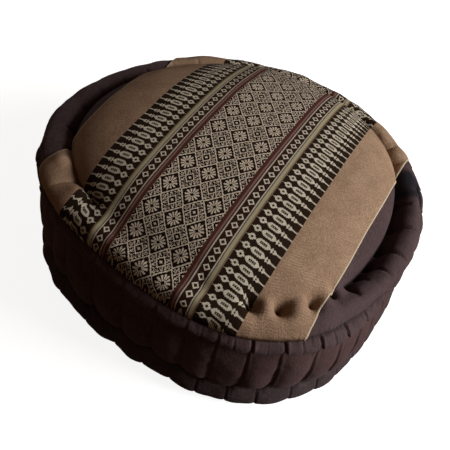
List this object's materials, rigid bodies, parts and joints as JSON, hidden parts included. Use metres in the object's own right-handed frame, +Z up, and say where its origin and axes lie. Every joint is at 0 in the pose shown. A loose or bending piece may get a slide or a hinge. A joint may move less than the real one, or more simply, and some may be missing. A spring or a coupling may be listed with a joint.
{
  "type": "zafu",
  "caption": "Round quilted meditation cushion with a crowned top, a stitched groove, puffed side cells and a woven patterned panel across the top.",
  "frame": {"origin": "centre of the flat base, under the middle of the cushion's box", "axes": "+Z up through the crown, +Y along the stripes of the woven panel, +X across them"},
  "size_m": [0.3902, 0.3658, 0.1769],
  "materials": {
    "brown_cotton": "matt plain-weave cotton, dark brown",
    "woven_cotton": "matt woven cotton, tan borders and a cream pattern on dark brown"
  },
  "bodies": {
    "root": {"cushion_body": "brown_cotton", "woven_panel": "woven_cotton"}
  },
  "joints": []
}
